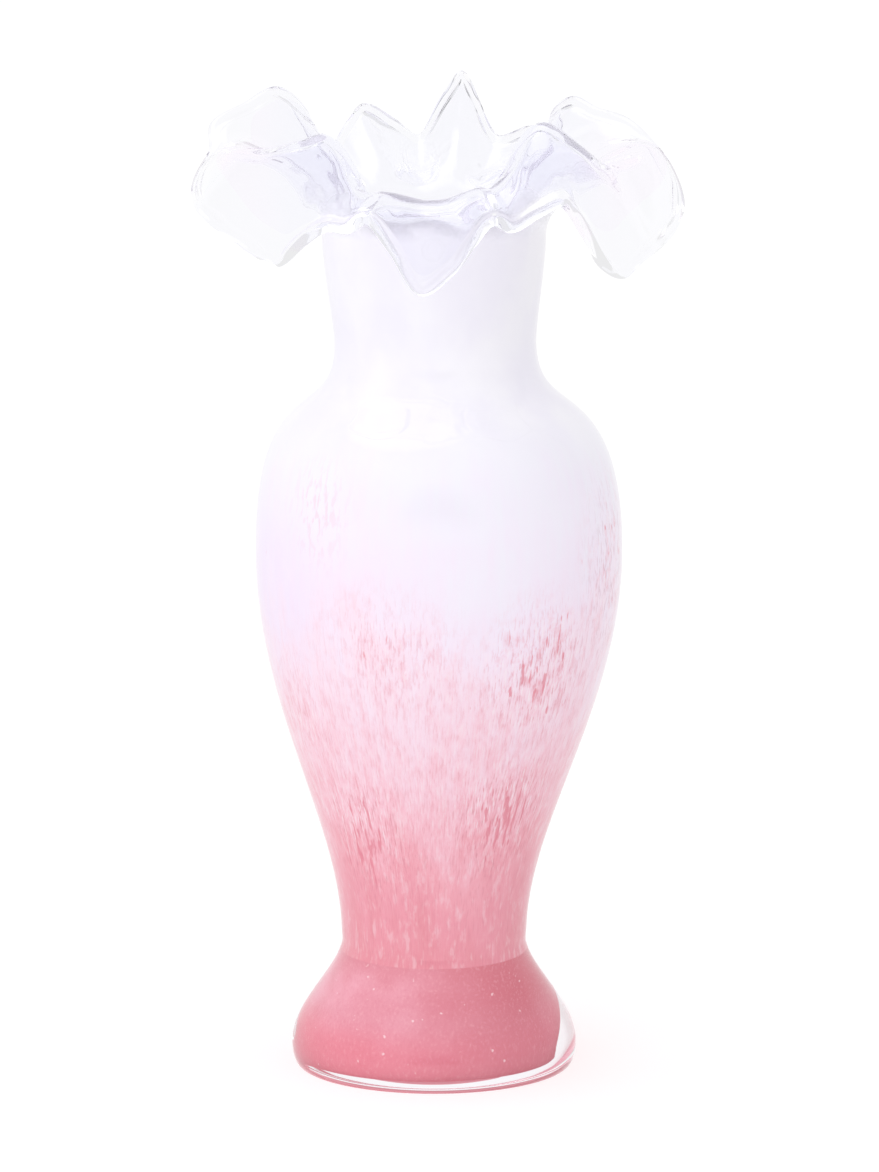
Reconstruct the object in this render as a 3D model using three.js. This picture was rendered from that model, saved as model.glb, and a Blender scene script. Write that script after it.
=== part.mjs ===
// A hand-blown cased glass vase with a flared foot and a crimped, ruffled rim.
// Millimetres, +Z up, the origin at the centre of the face that it stands on, the front towards -Y.

import * as THREE from 'three';

// Foot: a solid pink core wrapped in clear glass.
const footHeight = 38.5;
const footRadius = 43;
const footEdgeHeight = 7; // height of the widest line
const footEdgeTuck = 2.5; // how far the rounded edge draws in to the resting face
const footFlareTop = 8.5; // pull of the foot's curve below the waist
const footFlareBottom = 11; // pull of the foot's curve above its edge
const footClearBottom = 2.5; // clear glass under the core
const footClearEdge = 13.5; // clear glass round the core at the foot's edge
const footClearWaist = 1.6; // clear glass round the core at the waist

// Body and neck, as the outside of the clear casing.
const waistRadius = 27.9;
const waistRound = 1; // rounding of the crease where the body meets the foot
const bellyLength = 119.5; // from the waist up to the widest line
const bodyRadius = 55;
const shoulderLength = 62.8; // from the widest line up to the narrowest line of the neck
const neckRadius = 30.2;
const neckLength = 33.2; // from the narrowest line up to the ruffle
const rootRadius = 33.5; // outside of the neck where the ruffle starts
const waistPull = 35;
const bodyPullBelow = 48;
const bodyPullAbove = 55;
const neckPullBelow = 26;
const neckPullAbove = 6;
const rootPull = 10;
const lean = 1.5; // the body sways this far to +X at its widest line

const bodyHeight = footHeight + bellyLength;
const neckHeight = bodyHeight + shoulderLength;
const rootHeight = neckHeight + neckLength;

// Layers of the wall, from the outside in.
const clearWall = 2.2;
const colourWall = 0.7;
const opalWall = 1.3;
const layerGap = 0.3;
const colourShort = 7.8; // the pink layer ends this far below the neck's narrowest line
const colourTop = neckHeight - colourShort;

// Ruffle.
const ruffleReach = 40; // how far the side flaps reach out from the neck
const ruffleRise = 40; // how far the tall folds stand above the neck
const ruffleThickness = 3;
const rimBead = 4.2; // thickness of the rounded edge
const beadWidth = 5; // how far the bead reaches in from the rim
const clearBand = 13; // clear glass between the opal layer's edge and the rim
const opalEdgeThickness = 0.7;
const rootRise = 12; // how far the ruffle goes on straight up from the neck
const rootBlend = 0.3; // share of a section over which the wall's sizes change to the ruffle's
const creasePull = 5; // how far the bend at a crease reaches to each side of it
const rimRun = 2 / 3; // share of the way from the crease at which the sheet runs straight to the rim

// The ruffle's folds, anticlockwise from the front as seen from above. Each station: azimuth in degrees from
// the front towards +X, then the rim's reach out from the neck and height above its top, then the crease's.
// Reaches are in percent of ruffleReach, heights in percent of ruffleRise.
const folds = [
  // Hanging front lobe and the pinch to its right.
  [-4, 71, -25, 34, 32.5],
  [5, 69, -11, 34, 34],
  [11, 65, 9, 31, 39],
  [17, 66, 25, 31, 44],
  [23.5, 65, 20, 30, 44],
  [32, 66, 30, 27, 58],
  // Right flap: its near ridge, the valley beside it, and the crease that it hangs from.
  [39, 71, 35, 25, 80],
  [44, 79, 12.5, 30, 88],
  [48, 87.5, -12.5, 36, 84],
  [53, 92.5, -20, 45, 73],
  [60, 94, -11, 54, 58],
  [69, 95, -5, 59, 51],
  [79, 97.5, 2.5, 70, 55],
  [86, 101, 14, 76, 60],
  [90, 100, 27.5, 74, 63],
  [94, 95, 45, 66, 64],
  // Right fold, standing up behind the flap.
  [98, 86, 61, 54, 63],
  [104.5, 70, 79, 40, 60],
  [114, 52.5, 86, 26, 56],
  [122, 44, 92.5, 20, 60],
  [130, 41, 82.5, 19, 52],
  [138, 50, 65, 24, 39],
  [148, 61, 62.5, 29, 35],
  // Back spike.
  [160, 60, 54, 29, 30],
  [167, 61, 82.5, 31, 45],
  [171.5, 64, 102.5, 34, 55],
  [176.5, 61, 85, 31, 45],
  [184, 60, 54, 29, 30],
  // Back left corner.
  [193, 61, 65, 29, 37.5],
  [202, 60, 79, 29, 47.5],
  [208, 56, 67.5, 26, 42.5],
  [216, 54, 45, 24, 30],
  [225, 47.5, 55, 21, 37.5],
  // Left fold, standing up behind the flap.
  [233, 44, 80, 24, 60],
  [241, 54, 100, 37, 78],
  [251, 69, 90, 47, 73],
  [260, 87, 77.5, 56, 65],
  // Left flap: the crease that it hangs from, the valley beside it, and its near ridge.
  [266, 86, 57, 60, 63],
  [273, 96, 33, 65, 62],
  [285, 97, 19, 66, 63],
  [298, 87, 5, 57, 67],
  [305, 83, -3, 49, 71],
  [311, 81.5, -7.5, 40, 76],
  [316, 80, -9, 33, 80],
  [321, 74, 6, 28, 69],
  // Pinch to the left of the front lobe.
  [327, 67.5, 19, 29, 44],
  [334, 66, 19, 31, 38],
  [341, 67.5, 26, 31, 40],
  [348, 66, 5, 34, 37.5],
];

// How finely the curves are cut.
const roundSteps = 32;
const footSteps = 6;
const edgeSteps = 3;
const bellySteps = 6;
const shoulderSteps = 7;
const neckSteps = 2;
const stepsPerFold = 2;
const rowsToCrease = 4;
const rowsPastCrease = 5;
const rowGathering = 1.5; // how much closer the rows lie near a crease
const creaseLimit = 0.8; // farthest place of the crease's row, as a share of the opal's reach
const slopeStep = 0.01; // share of a section used to measure the ruffle's slope
const beadRow = 0.3; // place of the row that rounds the bead off, as a share of its radius

const point = (radius, height) => new THREE.Vector2(radius, height);

function curve(start, startPull, endPull, end, steps) {
  return new THREE.CubicBezierCurve(start, startPull, endPull, end).getPoints(steps);
}

// The outside of the body and neck, from just above the waist up to the ruffle.
function bodyOutline() {
  const waist = point(waistRadius, footHeight + waistRound);
  const widest = point(bodyRadius, bodyHeight);
  const neck = point(neckRadius, neckHeight);
  const root = point(rootRadius, rootHeight);
  const belly = curve(
    waist,
    point(waistRadius, waist.y + waistPull),
    point(bodyRadius, bodyHeight - bodyPullBelow),
    widest,
    bellySteps,
  );
  const shoulder = curve(
    widest,
    point(bodyRadius, bodyHeight + bodyPullAbove),
    point(neckRadius, neckHeight - neckPullBelow),
    neck,
    shoulderSteps,
  );
  const throat = curve(
    neck,
    point(neckRadius, neckHeight + neckPullAbove),
    point(rootRadius, rootHeight - rootPull),
    root,
    neckSteps,
  );
  return [...belly, ...shoulder.slice(1), ...throat.slice(1)];
}

// The same outline moved in towards the axis by a distance, cut level at its top.
function movedIn(outline, distance) {
  return outline.map((spot, i) => {
    const before = outline[Math.max(i - 1, 0)];
    const after = outline[Math.min(i + 1, outline.length - 1)];
    const along = after.clone().sub(before).normalize();
    const moved = point(spot.x - along.y * distance, spot.y + along.x * distance);
    if (i === outline.length - 1) moved.y = spot.y;
    return moved;
  });
}

// One face of the wall at a depth below the outside: level across the floor, then up the wall.
function wallFace(depth) {
  const floor = footHeight + layerGap + depth;
  const wall = movedIn(bodyOutline(), depth).filter((spot) => spot.y > floor + waistRound);
  return [point(0, floor), point(waistRadius - depth, floor), ...wall];
}

function below(face, height) {
  return face.filter((spot) => spot.y < height);
}

function above(face, height) {
  return face.filter((spot) => spot.y > height);
}

// Turns a profile that starts and ends on the axis round the vertical axis.
function turned(profile) {
  const geometry = new THREE.LatheGeometry(profile, roundSteps);
  geometry.rotateX(Math.PI / 2);
  return geometry;
}

// Sways the body to +X: nothing at the waist and the ruffle's root, most at the widest line.
function swayed(geometry) {
  const spots = geometry.attributes.position;
  for (let i = 0; i < spots.count; i += 1) spots.setX(i, spots.getX(i) + swayAt(spots.getZ(i)));
  return geometry;
}

function swayAt(height) {
  if (height < footHeight || height > rootHeight) return 0;
  const share = height < bodyHeight
    ? (height - footHeight) / bellyLength
    : (rootHeight - height) / (rootHeight - bodyHeight);
  return lean * Math.sin((share * Math.PI) / 2) ** 2;
}

function shell(outerFace, innerFace) {
  return swayed(turned([...outerFace, ...innerFace.slice().reverse()]));
}

function footOutline(clearEdge, clearWaist, bottom) {
  const waist = point(waistRadius - clearWaist, footHeight);
  const edge = point(footRadius - clearEdge, Math.max(footEdgeHeight, bottom + footEdgeTuck));
  const flare = curve(
    edge,
    point(edge.x, edge.y + footFlareBottom),
    point(waist.x, waist.y - footFlareTop),
    waist,
    footSteps,
  );
  const rounding = [];
  for (let i = 0; i < edgeSteps; i += 1) {
    const turn = (i / edgeSteps) * (Math.PI / 2);
    rounding.push(
      point(edge.x - footEdgeTuck * (1 - Math.sin(turn)), edge.y - (edge.y - bottom) * Math.cos(turn)),
    );
  }
  return [...rounding, ...flare];
}

function clearFoot() {
  const outside = footOutline(0, 0, 0);
  const hollow = footOutline(footClearEdge, footClearWaist, footClearBottom);
  return turned([point(0, 0), ...outside, ...hollow.reverse(), point(0, footClearBottom)]);
}

function footCore() {
  const outside = footOutline(
    footClearEdge + layerGap,
    footClearWaist + layerGap,
    footClearBottom + layerGap,
  );
  return turned([point(0, footClearBottom + layerGap), ...outside, point(0, footHeight)]);
}

function clearCasing() {
  return shell(wallFace(0), wallFace(clearWall));
}

function pinkColourLayer() {
  const outer = below(wallFace(clearWall + layerGap), colourTop);
  const inner = below(wallFace(clearWall + layerGap + colourWall), colourTop);
  return shell(outer, inner);
}

// The lining keeps clear of the pink layer, and above it swells out to meet the casing.
function opalLining() {
  const underColour = clearWall + colourWall + 2 * layerGap;
  const outer = [
    ...below(wallFace(underColour), colourTop),
    ...above(wallFace(clearWall + layerGap), colourTop + layerGap),
  ];
  return shell(outer, wallFace(underColour + opalWall));
}

// One value of the folds at a place along their list, on a smooth curve through the stations.
function foldValue(place, column) {
  const count = folds.length;
  const first = Math.floor(place);
  const share = place - first;
  const value = (i) => {
    const turns = Math.floor(i / count);
    return folds[i - turns * count][column] + (column === 0 ? turns * 360 : 0);
  };
  const [a, b, c, d] = [first - 1, first, first + 1, first + 2].map(value);
  const slopeB = (c - a) / 2;
  const slopeC = (d - b) / 2;
  return (
    b * (1 + 2 * share) * (1 - share) ** 2
    + slopeB * share * (1 - share) ** 2
    + c * share ** 2 * (3 - 2 * share)
    + slopeC * share ** 2 * (share - 1)
  );
}

// The middle of the ruffle's sheet at one place: up from the neck, through the crease, to the rim.
function ruffleSection(place) {
  const azimuth = THREE.MathUtils.degToRad(foldValue(place, 0));
  const across = Math.sin(azimuth);
  const forward = Math.cos(azimuth);
  const at = (reach, height) => new THREE.Vector3(reach * across, -reach * forward, height);
  const rootReach = rootRadius - clearWall / 2;
  const root = at(rootReach, rootHeight + layerGap);
  const rise = at(rootReach, rootHeight + layerGap + rootRise);
  const fromNeck = (reach, height) =>
    at(rootRadius + (reach / 100) * ruffleReach, rootHeight + (height / 100) * ruffleRise);
  const rim = fromNeck(foldValue(place, 1), foldValue(place, 2));
  const crease = fromNeck(foldValue(place, 3), foldValue(place, 4));
  const inwards = crease.clone().sub(rise).normalize();
  const outwards = rim.clone().sub(crease);
  const along = inwards.add(outwards.clone().normalize()).normalize();
  const before = crease.clone().addScaledVector(along, -creasePull);
  const after = crease.clone().addScaledVector(along, creasePull);
  const toRim = crease.clone().addScaledVector(outwards, rimRun);
  const section = new THREE.CurvePath();
  section.add(new THREE.CubicBezierCurve3(root, rise, before, crease));
  section.add(new THREE.CubicBezierCurve3(crease, after, toRim, rim));
  return section;
}

// A point of the sheet and the direction from it to its upper, inner side.
function sheetFrame(sections, column, share) {
  const count = sections.length;
  const low = Math.max(share - slopeStep, 0);
  const high = Math.min(share + slopeStep, 1);
  const out = sections[column].getPointAt(high).sub(sections[column].getPointAt(low));
  const round = sections[(column + 1) % count]
    .getPointAt(share)
    .sub(sections[(column + count - 1) % count].getPointAt(share));
  return { spot: sections[column].getPointAt(share), inward: out.cross(round).normalize() };
}

// A closed ring of glass: each row goes once round the ruffle, and the rows go once round the glass.
// Each patch is split along its shorter diagonal.
function closedRing(rows) {
  const columns = rows[0].length;
  const spots = rows.flat();
  const faces = [];
  rows.forEach((row, i) => {
    const next = ((i + 1) % rows.length) * columns;
    for (let j = 0; j < columns; j += 1) {
      const beside = (j + 1) % columns;
      const [a, b, c, d] = [i * columns + j, i * columns + beside, next + beside, next + j];
      const split = spots[a].distanceTo(spots[c]) < spots[b].distanceTo(spots[d]);
      faces.push(...(split ? [a, b, c, a, c, d] : [a, b, d, b, c, d]));
    }
  });
  const geometry = new THREE.BufferGeometry().setFromPoints(spots);
  geometry.setIndex(faces);
  return geometry;
}

function ruffleSections() {
  const sections = [];
  for (let i = 0; i < folds.length * stepsPerFold; i += 1) sections.push(ruffleSection(i / stepsPerFold));
  return sections;
}

// A size that goes from the wall's at the root to the ruffle's own.
function fromRoot(share, wallSize, ruffleSize) {
  return THREE.MathUtils.lerp(wallSize, ruffleSize, Math.min(share / rootBlend, 1));
}

// The glass is as thick as the casing at its root and swells to a rounded bead at the rim.
function glassThickness(share, length) {
  const toRim = (1 - share) * length;
  const sheet = fromRoot(share, clearWall, ruffleThickness);
  if (toRim > beadWidth) return sheet;
  const bead = rimBead / 2;
  const swell = sheet + (rimBead - sheet) * (1 - toRim / beadWidth);
  return toRim < bead ? swell * Math.sqrt(Math.max(1 - ((bead - toRim) / bead) ** 2, 0)) : swell;
}

function rowOnSheet(sections, shareAt, offsetAt) {
  return sections.map((section, column) => {
    const length = section.getLength();
    const share = shareAt(section);
    const { spot, inward } = sheetFrame(sections, column, share);
    return spot.addScaledVector(inward, offsetAt(share, length));
  });
}

// Rows of the sheet that the opal layer covers, as shares of each section's length. One row follows the crease,
// and the others gather near it.
function coveredRows() {
  const covered = (section) => 1 - clearBand / section.getLength();
  const toCrease = (section) => Math.min(
    section.curves[0].getLength() / section.getLength(),
    covered(section) * creaseLimit,
  );
  const rows = [];
  for (let i = 0; i <= rowsToCrease; i += 1) {
    const way = 1 - (1 - i / rowsToCrease) ** rowGathering;
    rows.push((section) => way * toCrease(section));
  }
  for (let i = 1; i <= rowsPastCrease; i += 1) {
    const way = (i / rowsPastCrease) ** rowGathering;
    rows.push((section) => THREE.MathUtils.lerp(toCrease(section), covered(section), way));
  }
  return rows;
}

function ruffledRim() {
  const sections = ruffleSections();
  const bead = rimBead / 2;
  const clearRows = [(clearBand + beadWidth) / 2, beadWidth, bead, bead * beadRow];
  const shares = [...coveredRows(), ...clearRows.map((toRim) => (section) => 1 - toRim / section.getLength())];
  const half = (side) => (share, length) => (side * glassThickness(share, length)) / 2;
  const outer = shares.map((shareAt) => rowOnSheet(sections, shareAt, half(-1)));
  const rim = rowOnSheet(sections, () => 1, () => 0);
  const inner = shares.map((shareAt) => rowOnSheet(sections, shareAt, half(1)));
  return closedRing([...outer, rim, ...inner.reverse()]);
}

function opalFlare() {
  const sections = ruffleSections();
  const outer = (share, length) => glassThickness(share, length) / 2 + layerGap;
  const thickness = (share) => fromRoot(share, opalWall, opalEdgeThickness);
  const inner = (share, length) => outer(share, length) + thickness(share);
  return closedRing([
    ...coveredRows().map((shareAt) => rowOnSheet(sections, shareAt, outer)),
    ...coveredRows().map((shareAt) => rowOnSheet(sections, shareAt, inner)).reverse(),
  ]);
}

const clearGlass = { color: 0xf1eff8, roughness: 0.03, metalness: 0, transparent: true, opacity: 0.35 };
const opalGlass = { color: 0xf7f4fb, roughness: 0.12, metalness: 0 };
const pinkGlass = { color: 0xefa9ba, roughness: 0.12, metalness: 0 };
const deepPinkGlass = { color: 0xdd8095, roughness: 0.1, metalness: 0 };

const vase = new THREE.Group();

function add(name, geometry, look) {
  const mesh = new THREE.Mesh(geometry, new THREE.MeshStandardMaterial(look));
  mesh.name = name;
  vase.add(mesh);
}

add('clear_foot', clearFoot(), clearGlass);
add('foot_core', footCore(), deepPinkGlass);
add('clear_casing', clearCasing(), clearGlass);
add('pink_colour_layer', pinkColourLayer(), pinkGlass);
add('opal_lining', opalLining(), opalGlass);
add('opal_flare', opalFlare(), opalGlass);
add('ruffled_rim', ruffledRim(), clearGlass);

export default vase;
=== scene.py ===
"""A hand-blown cased glass vase with a ruffled rim, on a plain white floor. Metres, +Z up, the front towards -Y."""

import math

import bpy
import numpy as np
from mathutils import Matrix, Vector, noise


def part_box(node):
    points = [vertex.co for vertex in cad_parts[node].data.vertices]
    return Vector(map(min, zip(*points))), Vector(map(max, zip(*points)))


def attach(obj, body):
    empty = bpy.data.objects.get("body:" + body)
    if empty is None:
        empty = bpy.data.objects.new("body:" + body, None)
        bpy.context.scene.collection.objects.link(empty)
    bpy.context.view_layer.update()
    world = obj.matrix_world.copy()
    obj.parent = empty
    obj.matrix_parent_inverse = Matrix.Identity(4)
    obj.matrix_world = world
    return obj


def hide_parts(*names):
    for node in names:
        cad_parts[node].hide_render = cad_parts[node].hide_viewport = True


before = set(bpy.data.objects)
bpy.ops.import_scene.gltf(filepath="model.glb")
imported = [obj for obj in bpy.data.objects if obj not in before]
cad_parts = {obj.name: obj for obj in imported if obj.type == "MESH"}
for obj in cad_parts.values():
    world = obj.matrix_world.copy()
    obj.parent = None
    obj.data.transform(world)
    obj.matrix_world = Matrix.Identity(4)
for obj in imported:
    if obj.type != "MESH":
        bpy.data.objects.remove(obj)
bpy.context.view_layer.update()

# Sizes that the frame gives.
foot_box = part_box("clear_foot")
casing_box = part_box("clear_casing")
FOOT_HEIGHT = foot_box[1].z
FOOT_RADIUS = foot_box[1].y
BODY_RADIUS = casing_box[1].y
ROOT_HEIGHT = casing_box[1].z

# Foot.
FOOT_EDGE_HEIGHT = 0.007
FOOT_EDGE_TUCK = 0.0025
FOOT_FLARE_TOP = 0.0085
FOOT_FLARE_BOTTOM = 0.011
FOOT_CLEAR_BOTTOM = 0.0025
FOOT_CLEAR_EDGE = 0.0135
FOOT_CLEAR_WAIST = 0.0022
CORE_OFF_AXIS = 0.0018  # how far the pink core lies to the left at its bottom

# Body and neck, as the outside of the clear casing.
WAIST_RADIUS = 0.0279
WAIST_ROUND = 0.001
BELLY_LENGTH = 0.1195
NECK_RADIUS = 0.0302
NECK_LENGTH = 0.0332
ROOT_RADIUS = 0.0335
WAIST_PULL = 0.035
BODY_PULL_BELOW = 0.048
BODY_PULL_ABOVE = 0.055
NECK_PULL_BELOW = 0.026
NECK_PULL_ABOVE = 0.006
ROOT_PULL = 0.010
LEAN = 0.0015
BODY_HEIGHT = FOOT_HEIGHT + BELLY_LENGTH
NECK_HEIGHT = ROOT_HEIGHT - NECK_LENGTH
CREASE_DEPTH = 0.0002
CREASE_WIDTH = 0.0016

# Layers of the wall, as depths below the outside.
COLOUR_DEPTH = 0.0022
GLASS_DEPTH = 0.0026  # inner face of the clear glass, hidden inside the colour
OPAL_DEPTH = 0.0034
INSIDE_DEPTH = 0.0048
COLOUR_TOP = NECK_HEIGHT - 0.0078
COLOUR_FADE = 0.008  # height over which the pink layer sinks into the opal at its top
LAYER_LAP = 0.0001  # how far the layers reach into each other
PINK_FLOOR = 0.0002  # the floor's layers, as heights below and above the foot's top
PINK_FLOOR_INSIDE = 0.0034
OPAL_FLOOR = 0.0033
INSIDE_FLOOR = 0.0048
WALL_START = 0.0005  # how far above its floor a layer's wall starts
GLASS_FLOOR = 0.001  # how far the clear glass's floor lies below the foot's top
GLASS_WALL_START = 0.003

# Ruffle.
RUFFLE_REACH = 0.040
RUFFLE_RISE = 0.040
RUFFLE_THICKNESS = 0.003
RIM_BEAD = 0.0042
BEAD_WIDTH = 0.005
CLEAR_BAND = (0.005, 0.015)  # clear glass past the opal film, in the small folds and in the flaps
FLAP_REACH = (66, 96)  # the rim's reach in the small folds and in the flaps, in percent
ROOT_RISE = 0.012
ROOT_BLEND = 0.3
CREASE_PULL = 0.005
RIM_INSET = (0.0006, 0.0001)  # how far the rim is drawn in and down, to make room for its bead
RIM_RUN = 2 / 3  # share of the way from the crease at which the sheet runs straight to the rim
UPPER_HASTE = 4  # how many times sooner the film thins on its upper face, so that only the lower one is milky
FILM_SUNK = 0.00035  # how far the opal film reaches into the glass
FILM_PROUD = 0.00025  # how far it stands out of the glass
WALL_GLASS = 0.0022  # thickness of the clear glass at the ruffle's root
HIDDEN_SHARE = 0.12  # share of the sheet over which the glass's inner face comes out of the colour
WOBBLE_SHARE = 0.15  # share of the sheet over which its unevenness sets in
WOBBLE_WAVE = 0.011
WOBBLE_DEPTH = 0.0006
WOBBLE_SEEDS = (3.1, 7.7)

# The ruffle's folds, anticlockwise from the front as seen from above. Each station: azimuth in degrees from the
# front towards +X, the rim's reach and height in percent of RUFFLE_REACH and RUFFLE_RISE, then the crease's.
FOLDS = [
    # Hanging front lobe and the pinch to its right.
    [-4, 71, -25, 34, 32.5],
    [5, 69, -11, 34, 34],
    [11, 65, 9, 31, 39],
    [17, 66, 25, 31, 44],
    [23.5, 65, 20, 30, 44],
    [32, 66, 30, 27, 58],
    # Right flap: its near ridge, the valley beside it, and the crease that it hangs from.
    [39, 71, 35, 25, 80],
    [44, 79, 12.5, 30, 88],
    [48, 87.5, -12.5, 36, 84],
    [53, 92.5, -20, 45, 73],
    [60, 94, -11, 54, 58],
    [69, 95, -5, 59, 51],
    [79, 97.5, 2.5, 70, 55],
    [86, 101, 14, 76, 60],
    [90, 100, 27.5, 74, 63],
    [94, 95, 45, 66, 64],
    # Right fold, standing up behind the flap.
    [98, 86, 61, 54, 63],
    [104.5, 70, 79, 40, 60],
    [114, 52.5, 86, 26, 56],
    [122, 44, 92.5, 20, 60],
    [130, 41, 82.5, 19, 52],
    [138, 50, 65, 24, 39],
    [148, 61, 62.5, 29, 35],
    # Back spike.
    [160, 60, 54, 29, 30],
    [167, 61, 82.5, 31, 45],
    [171.5, 64, 102.5, 34, 55],
    [176.5, 61, 85, 31, 45],
    [184, 60, 54, 29, 30],
    # Back left corner.
    [193, 61, 65, 29, 37.5],
    [202, 60, 79, 29, 47.5],
    [208, 56, 67.5, 26, 42.5],
    [216, 54, 45, 24, 30],
    [225, 47.5, 55, 21, 37.5],
    # Left fold, standing up behind the flap.
    [233, 44, 80, 24, 60],
    [241, 54, 100, 37, 78],
    [251, 69, 90, 47, 73],
    [260, 87, 77.5, 56, 65],
    # Left flap: the crease that it hangs from, the valley beside it, and its near ridge.
    [266, 86, 57, 60, 63],
    [273, 96, 33, 65, 62],
    [285, 97, 19, 66, 63],
    [298, 87, 5, 57, 67],
    [305, 83, -3, 49, 71],
    [311, 81.5, -7.5, 40, 76],
    [316, 80, -9, 33, 80],
    [321, 74, 6, 28, 69],
    # Pinch to the left of the front lobe.
    [327, 67.5, 19, 29, 44],
    [334, 66, 19, 31, 38],
    [341, 67.5, 26, 31, 40],
    [348, 66, 5, 34, 37.5],
]
STATIONS = np.array(FOLDS)

# How finely the surfaces are cut.
CORNER = 0.0001  # height of the row beside a sharp corner, which keeps the shading on both sides of it plain
COLUMNS_PER_FOLD = 8
FLAT_STEPS = 6
EDGE_STEPS = 8
FLARE_STEPS = 24
BELLY_STEPS = 48
SHOULDER_STEPS = 36
THROAT_STEPS = 12
RUFFLE_ROWS = 44
BEAD_ROWS = 8
SECTION_SAMPLES = 240
SLOPE_STEP = 0.01

# Camera.
CAMERA_PLACE = Vector((0, -2.4, 0.594))
CAMERA_AIM = Vector((0.00165, 0, 0.1466))
CAMERA_LENS = 250
SENSOR = 36

# Light.
AMBIENT = (1.055, 0.86)  # the even light from the left and from the right
KEY_PLACE = Vector((-1.4, -2.2, 0.8))
KEY_SIZE = (2.0, 2.2)
KEY_RADIANCE = 1.0
FILL_PLACE = Vector((1.9, -1.2, 0.7))
FILL_SIZE = (1.4, 1.8)
FILL_RADIANCE = 0.25
FRONT_LEVEL = 0.84  # the studio in front of the white backdrop, as glass and gloss see it
FRONT_EDGE = (0.36, 0.48)  # where it ends and the backdrop begins, along Y
CAMERA_SIDE_LEVEL = 0.12  # the dark round the camera, as a share of that level
CAMERA_SIDE_EDGE = (-0.99, -0.85)
SWEEP_EDGE = (0.0, 0.22)  # how high the white of the floor sweeps up, along Z
CEILING_LEVEL = 2.0  # the soft box overhead
CEILING_EDGE = (0.80, 0.97)
CEILING_TILT = (-0.22, 0.0, 0.97)
FLOOR_SIZE = 8
FLOOR_DROP = 0.0002
FLOOR_ALBEDO = 0.82
FLOOR_GLOW = 0.26  # what the floor shows beside its own colour, to look white


def bezier(start, start_pull, end_pull, end, steps):
    """Points of a cubic curve, from start to end."""
    t = np.linspace(0, 1, steps + 1)[:, None]
    spots = [np.array(spot, float) for spot in (start, start_pull, end_pull, end)]
    shares = [(1 - t) ** 3, 3 * (1 - t) ** 2 * t, 3 * (1 - t) * t**2, t**3]
    return sum(share * spot for share, spot in zip(shares, spots))


def smooth(value, low, high):
    """0 below low, 1 above high, and a smooth step between."""
    t = np.clip((value - low) / (high - low), 0, 1)
    return t * t * (3 - 2 * t)


def body_outline():
    """Radius and height along the outside, from just above the waist up to the ruffle."""
    waist = (WAIST_RADIUS, FOOT_HEIGHT + WAIST_ROUND)
    belly = bezier(
        waist,
        (WAIST_RADIUS, waist[1] + WAIST_PULL),
        (BODY_RADIUS, BODY_HEIGHT - BODY_PULL_BELOW),
        (BODY_RADIUS, BODY_HEIGHT),
        BELLY_STEPS,
    )
    shoulder = bezier(
        (BODY_RADIUS, BODY_HEIGHT),
        (BODY_RADIUS, BODY_HEIGHT + BODY_PULL_ABOVE),
        (NECK_RADIUS, NECK_HEIGHT - NECK_PULL_BELOW),
        (NECK_RADIUS, NECK_HEIGHT),
        SHOULDER_STEPS,
    )
    throat = bezier(
        (NECK_RADIUS, NECK_HEIGHT),
        (NECK_RADIUS, NECK_HEIGHT + NECK_PULL_ABOVE),
        (ROOT_RADIUS, ROOT_HEIGHT - ROOT_PULL),
        (ROOT_RADIUS, ROOT_HEIGHT),
        THROAT_STEPS,
    )
    return np.concatenate([belly, shoulder[1:], throat[1:]])


def foot_outline(clear_edge, clear_waist, bottom):
    """Radius and height from the resting face up to the waist, drawn in by the clear glass round it."""
    edge = (FOOT_RADIUS - clear_edge, max(FOOT_EDGE_HEIGHT, bottom + FOOT_EDGE_TUCK))
    waist = (WAIST_RADIUS - clear_waist, FOOT_HEIGHT)
    turn = np.linspace(0, math.pi / 2, EDGE_STEPS, endpoint=False)
    rounding = np.stack(
        [
            edge[0] - FOOT_EDGE_TUCK * (1 - np.sin(turn)),
            edge[1] - (edge[1] - bottom) * np.cos(turn),
        ],
        axis=1,
    )
    flare = bezier(
        edge,
        (edge[0], edge[1] + FOOT_FLARE_BOTTOM),
        (waist[0], waist[1] - FOOT_FLARE_TOP),
        waist,
        FLARE_STEPS,
    )
    return np.concatenate([rounding, flare])


def moved_in(outline, depth):
    """The outline moved in by a depth, which may differ from point to point, and cut level at its top."""
    along = np.gradient(outline, axis=0)
    along /= np.linalg.norm(along, axis=1, keepdims=True)
    moved = outline + np.stack([-along[:, 1], along[:, 0]], axis=1) * np.reshape(depth, (-1, 1))
    moved[-1, 1] = outline[-1, 1]
    return moved


def wall(depth):
    """The body's outline moved in, by one depth or by a function of the height."""
    outline = body_outline()
    depths = depth(outline[:, 1]) if callable(depth) else np.full(len(outline), depth)
    return moved_in(outline, depths)


def disc(height, radius, outwards=True):
    """Points across a level disc, between the axis and just inside a radius."""
    radii = np.linspace(0, radius, FLAT_STEPS, endpoint=False)
    points = np.stack([radii, np.full(FLAT_STEPS, height)], axis=1)
    return points if outwards else points[::-1]


def fold_value(place, column):
    """One value of the folds at places along their list, on a smooth curve through the stations."""
    first = np.floor(place).astype(int)
    share = place - first

    def value(i):
        turns = np.floor_divide(i, len(STATIONS))
        return STATIONS[i - turns * len(STATIONS), column] + (360 * turns if column == 0 else 0)

    a, b, c, d = (value(first + step) for step in (-1, 0, 1, 2))
    slope_b = (c - a) / 2
    slope_c = (d - b) / 2
    return (
        b * (1 + 2 * share) * (1 - share) ** 2
        + slope_b * share * (1 - share) ** 2
        + c * share**2 * (3 - 2 * share)
        + slope_c * share**2 * (share - 1)
    )


PLACES = np.arange(len(FOLDS) * COLUMNS_PER_FOLD) / COLUMNS_PER_FOLD
AZIMUTHS = np.radians(fold_value(PLACES, 0))
COLUMNS = len(PLACES)


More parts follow.
